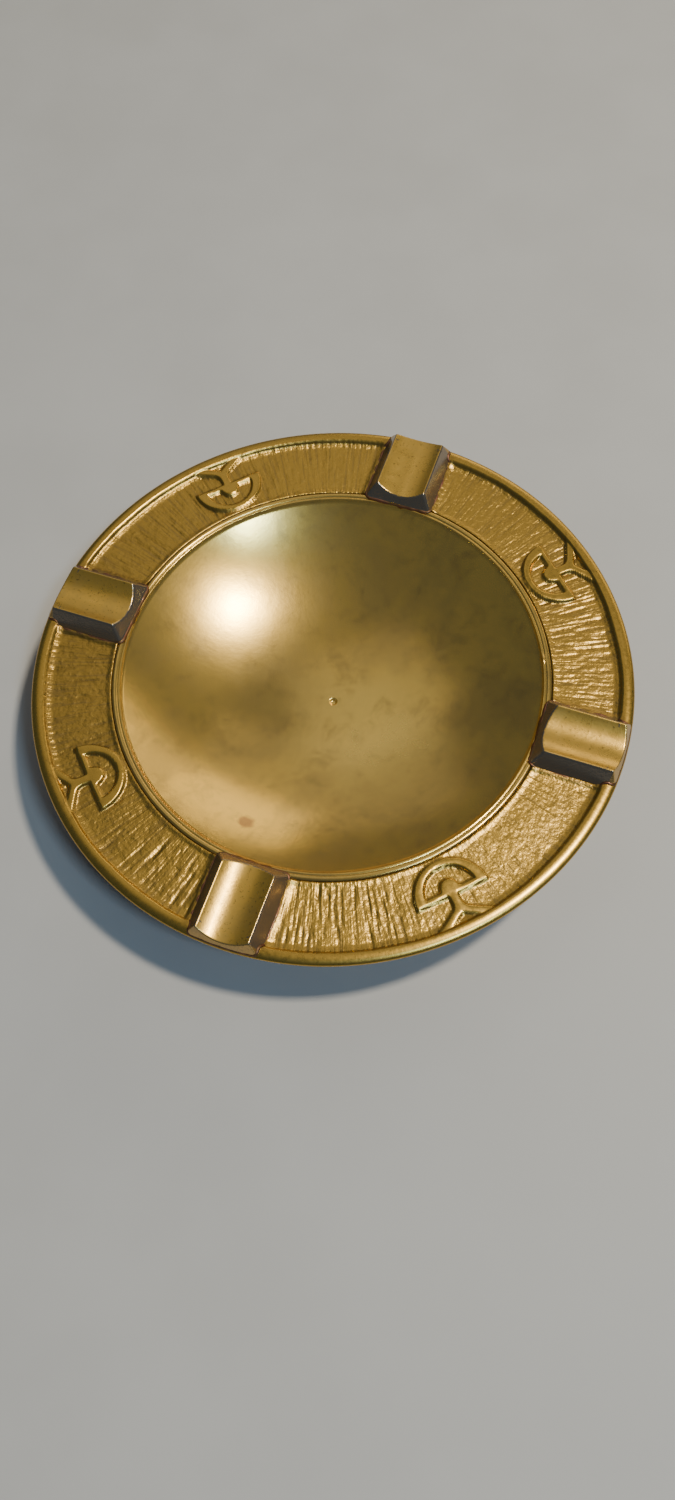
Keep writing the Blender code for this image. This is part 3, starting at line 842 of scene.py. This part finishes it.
def floor_material():
    """A plain pale surface. It starts as the metals do, and then loses its metal and its lacquer."""
    material, tree, shader, place = new_metal("floor_plain")
    shader.inputs["Metallic"].default_value = 0.0
    shader.inputs["Coat Weight"].default_value = 0.0
    faint = noise(tree, place, 0.05, 4)
    colour = blend_colours(tree, spread(tree, faint, 0.3, 0.7), FLOOR_DARKER, FLOOR_LIGHTER)
    connect(tree, shader, colour, spread(tree, faint, 0.3, 0.7, 0.6, 0.7), bumped(tree, faint, 0.0001))
    return material


# --- Stage ------------------------------------------------------------------------------------

def from_view(direction):
    """Turns a direction given as seen in the view, X right and Y away, to the part's axes."""
    return Matrix.Rotation(VIEW_TURN, 3, "Z") @ Vector(direction)


def area_light(name, direction, distance, width, height, power, colour):
    """A soft light at a distance from the dish, in a direction as from_view takes it, facing the dish."""
    data = bpy.data.lights.new(name, "AREA")
    data.shape = "RECTANGLE"
    data.size = width
    data.size_y = height
    data.energy = power
    data.color = colour
    light = bpy.data.objects.new(name, data)
    bpy.context.scene.collection.objects.link(light)
    towards = from_view(direction).normalized()
    light.location = Vector((0, 0, LIP_PLANE)) + towards * distance
    light.rotation_mode = "QUATERNION"
    light.rotation_quaternion = towards.to_track_quat("Z", "Y")


def make_stage():
    """The plain floor, the dim room and the lights."""
    bpy.ops.mesh.primitive_plane_add(size=8.0, location=(0, 0, 0))
    floor = bpy.context.object
    floor.name = "floor"
    floor.data.materials.append(floor_material())
    world = bpy.data.worlds.new("soft_room")
    world.use_nodes = True
    background = world.node_tree.nodes["Background"]
    background.inputs["Color"].default_value = (0.36, 0.64, 1.0, 1)
    background.inputs["Strength"].default_value = 0.09
    bpy.context.scene.world = world
    area_light("key", (0.387, 0.0, 0.92), 1.3, 0.11, 0.11, 13, (1.0, 0.93, 0.76))
    area_light("window", (0.325, -0.427, 0.844), 1.6, 0.24, 0.16, 8.0, (0.50, 0.74, 1.0))
    area_light("back_right", (0.52, 0.76, 0.36), 1.8, 1.7, 0.6, 4.8, (1.0, 0.87, 0.52))
    area_light("back", (0.05, 0.80, 0.60), 1.8, 1.6, 1.2, 1.8, (1.0, 0.93, 0.80))
    area_light("ceiling", (-0.16, 0.46, 0.87), 1.7, 0.9, 0.9, 0.9, (1.0, 0.92, 0.72))


def make_camera():
    """The camera at its fitted place."""
    data = bpy.data.cameras.new("camera")
    data.lens = CAMERA_LENS
    data.sensor_width = 36.0
    data.clip_start = 0.01
    camera = bpy.data.objects.new("camera", data)
    bpy.context.scene.collection.objects.link(camera)
    forward = Vector((0, cos(CAMERA_TILT), -sin(CAMERA_TILT)))
    right = Vector((1, 0, 0))
    up = right.cross(forward)
    rolled_right = cos(CAMERA_ROLL) * right + sin(CAMERA_ROLL) * up
    rolled_up = -sin(CAMERA_ROLL) * right + cos(CAMERA_ROLL) * up
    axes = Matrix((rolled_right, rolled_up, -forward)).transposed()
    turn = Matrix.Rotation(VIEW_TURN, 3, "Z")
    place = turn @ CAMERA_PLACE * RIM_RADIUS + Vector((0, 0, LIP_PLANE))
    camera.matrix_world = Matrix.Translation(place) @ (turn @ axes).to_4x4()
    bpy.context.scene.camera = camera


make_camera()
make_stage()
solder = solder_material()
make_rim(rim_material())
make_bowl(bowl_material())
make_rests(rest_material(), solder)
make_turned_copy("foot_ring_surface", "foot_ring", foot_material(), "foot_brass", 0.0004)
make_turned_copy("rim_solder_surface", "rim_solder", solder, "solder", 0.0003)
make_turned_copy("foot_solder_surface", "foot_solder", solder, "solder", 0.0003)
